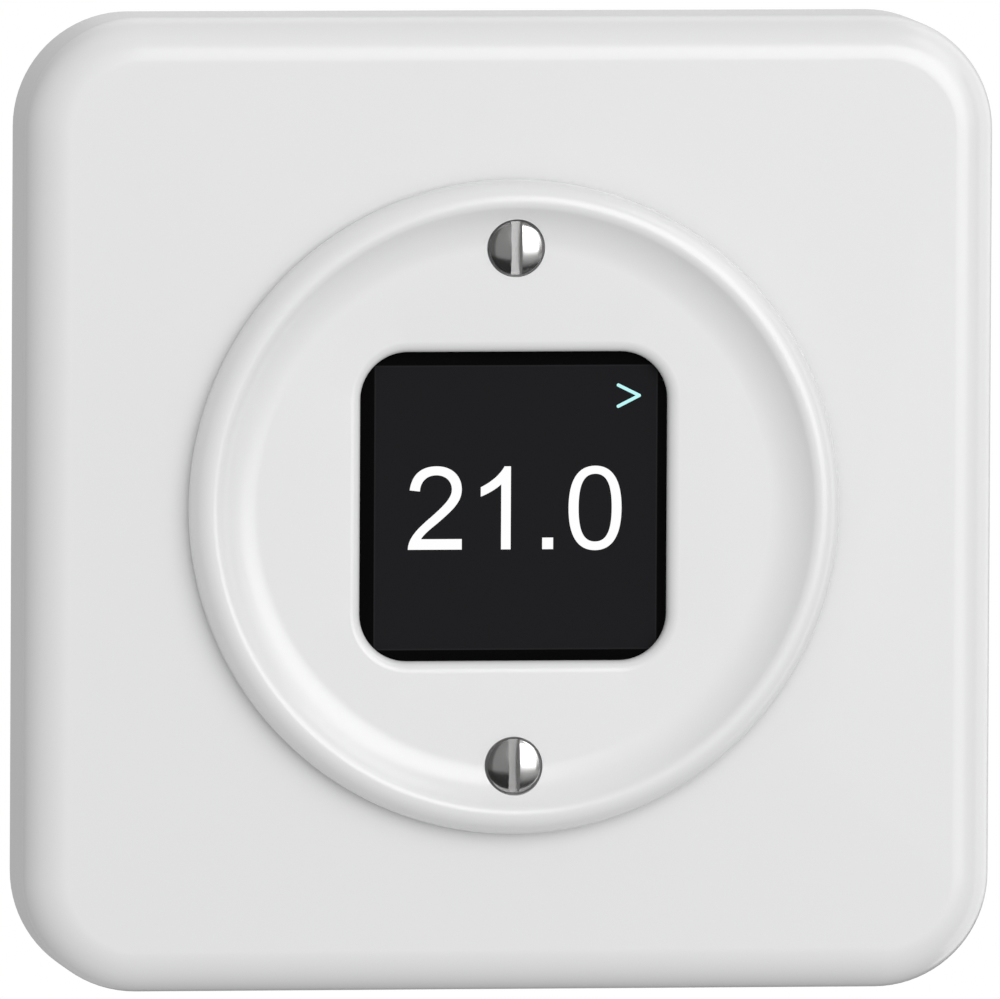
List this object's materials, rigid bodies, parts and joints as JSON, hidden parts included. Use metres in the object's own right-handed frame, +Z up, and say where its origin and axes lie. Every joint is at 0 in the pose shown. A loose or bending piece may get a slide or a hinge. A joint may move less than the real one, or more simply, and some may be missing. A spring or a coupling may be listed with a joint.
{
  "type": "wall thermostat",
  "caption": "Flush wall thermostat: square rounded cover plate, round screwed-on centre disc with a square black display, and an insert with relay and screw terminals.",
  "frame": {"origin": "centre of the cover plate on the surface of the wall behind it", "axes": "+Z up, -Y out of the wall towards the room, +X to the right as seen from the room"},
  "size_m": [0.086, 0.0437, 0.086],
  "materials": {
    "white_plastic": "glossy white thermoset moulding",
    "grey_plastic": "light grey moulded thermoset, fine matt",
    "dark_plastic": "dark moulded plastic, satin",
    "cover_glass": "black printed cover glass, polished",
    "display": "dark display cell with a lit readout",
    "tape": "black foam adhesive tape",
    "flex": "amber polyimide ribbon",
    "nickel": "polished nickel plate",
    "steel": "zinc-plated steel",
    "brass": "turned brass",
    "copper": "copper and enamelled copper wire",
    "board": "green lacquered circuit board",
    "ferrite": "dark sintered ferrite",
    "blue_plastic": "blue epoxy coating",
    "relay_case": "dark blue moulded relay case"
  },
  "bodies": {
    "housing": {"cover_plate": "white_plastic", "centre_disc": "white_plastic", "display_tape": "tape", "display_glass": "cover_glass", "touch_film": "display", "display_panel": "display", "display_tray": "dark_plastic", "display_flex": "flex", "flex_connector": "dark_plastic", "threaded_insert_top": "brass", "threaded_insert_bottom": "brass", "mounting_strap": "steel", "insert_carrier": "grey_plastic", "insert_body": "grey_plastic", "housing_screw_1": "steel", "housing_screw_2": "steel", "housing_screw_3": "steel", "housing_screw_4": "steel", "control_board": "board", "processor": "dark_plastic", "room_sensor": "dark_plastic", "board_header": "dark_plastic", "board_socket": "dark_plastic", "power_board": "board", "terminal_block": "dark_plastic", "terminal_bar_1": "copper", "terminal_bar_2": "copper", "terminal_bar_3": "copper", "terminal_bar_4": "copper", "terminal_bar_5": "copper", "transformer_core": "ferrite", "transformer_winding": "copper", "smoothing_capacitor": "dark_plastic", "film_capacitor": "blue_plastic", "varistor": "blue_plastic", "fuse": "dark_plastic", "relay_base": "relay_case", "relay_cover": "relay_case", "relay_yoke": "steel", "relay_core": "steel", "relay_coil": "copper", "relay_contact_open": "brass", "relay_contact_closed": "brass"},
    "cover_screw_top": {"cover_screw_top": "nickel"},
    "cover_screw_bottom": {"cover_screw_bottom": "nickel"},
    "relay_armature": {"relay_armature": "steel", "relay_blade": "copper"},
    "terminal_screw_1": {"terminal_screw_1": "steel"},
    "terminal_cage_1": {"terminal_cage_1": "steel"},
    "terminal_screw_2": {"terminal_screw_2": "steel"},
    "terminal_cage_2": {"terminal_cage_2": "steel"},
    "terminal_screw_3": {"terminal_screw_3": "steel"},
    "terminal_cage_3": {"terminal_cage_3": "steel"},
    "terminal_screw_4": {"terminal_screw_4": "steel"},
    "terminal_cage_4": {"terminal_cage_4": "steel"},
    "terminal_screw_5": {"terminal_screw_5": "steel"},
    "terminal_cage_5": {"terminal_cage_5": "steel"}
  },
  "joints": [
    {"name": "cover_screw_top_turn", "type": "hinge", "parent": "housing", "child": "cover_screw_top", "pos_m": [0, -0.0138, 0.02285], "axis": [0, -1, 0], "range_deg": [0, 2250]},
    {"name": "cover_screw_bottom_turn", "type": "hinge", "parent": "housing", "child": "cover_screw_bottom", "pos_m": [0, -0.0138, -0.02285], "axis": [0, -1, 0], "range_deg": [0, 2250]},
    {"name": "terminal_screw_1_turn", "type": "hinge", "parent": "housing", "child": "terminal_screw_1", "pos_m": [-0.013, 0.0262, -0.021], "axis": [0, -1, 0], "range_deg": [0, 2081]},
    {"name": "terminal_cage_1_rise", "type": "slide", "parent": "housing", "child": "terminal_cage_1", "axis": [0, 1, 0], "range_m": [0, 0.0026]},
    {"name": "terminal_screw_2_turn", "type": "hinge", "parent": "housing", "child": "terminal_screw_2", "pos_m": [-0.0065, 0.0262, -0.021], "axis": [0, -1, 0], "range_deg": [0, 2081]},
    {"name": "terminal_cage_2_rise", "type": "slide", "parent": "housing", "child": "terminal_cage_2", "axis": [0, 1, 0], "range_m": [0, 0.0026]},
    {"name": "terminal_screw_3_turn", "type": "hinge", "parent": "housing", "child": "terminal_screw_3", "pos_m": [0, 0.0262, -0.021], "axis": [0, -1, 0], "range_deg": [0, 2081]},
    {"name": "terminal_cage_3_rise", "type": "slide", "parent": "housing", "child": "terminal_cage_3", "axis": [0, 1, 0], "range_m": [0, 0.0026]},
    {"name": "terminal_screw_4_turn", "type": "hinge", "parent": "housing", "child": "terminal_screw_4", "pos_m": [0.0065, 0.0262, -0.021], "axis": [0, -1, 0], "range_deg": [0, 2081]},
    {"name": "terminal_cage_4_rise", "type": "slide", "parent": "housing", "child": "terminal_cage_4", "axis": [0, 1, 0], "range_m": [0, 0.0026]},
    {"name": "terminal_screw_5_turn", "type": "hinge", "parent": "housing", "child": "terminal_screw_5", "pos_m": [0.013, 0.0262, -0.021], "axis": [0, -1, 0], "range_deg": [0, 2081]},
    {"name": "terminal_cage_5_rise", "type": "slide", "parent": "housing", "child": "terminal_cage_5", "axis": [0, 1, 0], "range_m": [0, 0.0026]},
    {"name": "relay_armature_tip", "type": "hinge", "parent": "housing", "child": "relay_armature", "pos_m": [-0.0041, 0.0184, -0.0019], "axis": [0, 0, 1], "range_deg": [0, 3.3], "stiffness_Nm_per_rad": 0.002, "springref_deg": -9.74}
  ],
  "couplings": [
    {"joint": "terminal_screw_1_turn", "follows": "terminal_cage_1_rise", "rad_per_m": 13963},
    {"joint": "terminal_screw_2_turn", "follows": "terminal_cage_2_rise", "rad_per_m": 13963},
    {"joint": "terminal_screw_3_turn", "follows": "terminal_cage_3_rise", "rad_per_m": 13963},
    {"joint": "terminal_screw_4_turn", "follows": "terminal_cage_4_rise", "rad_per_m": 13963},
    {"joint": "terminal_screw_5_turn", "follows": "terminal_cage_5_rise", "rad_per_m": 13963}
  ]
}
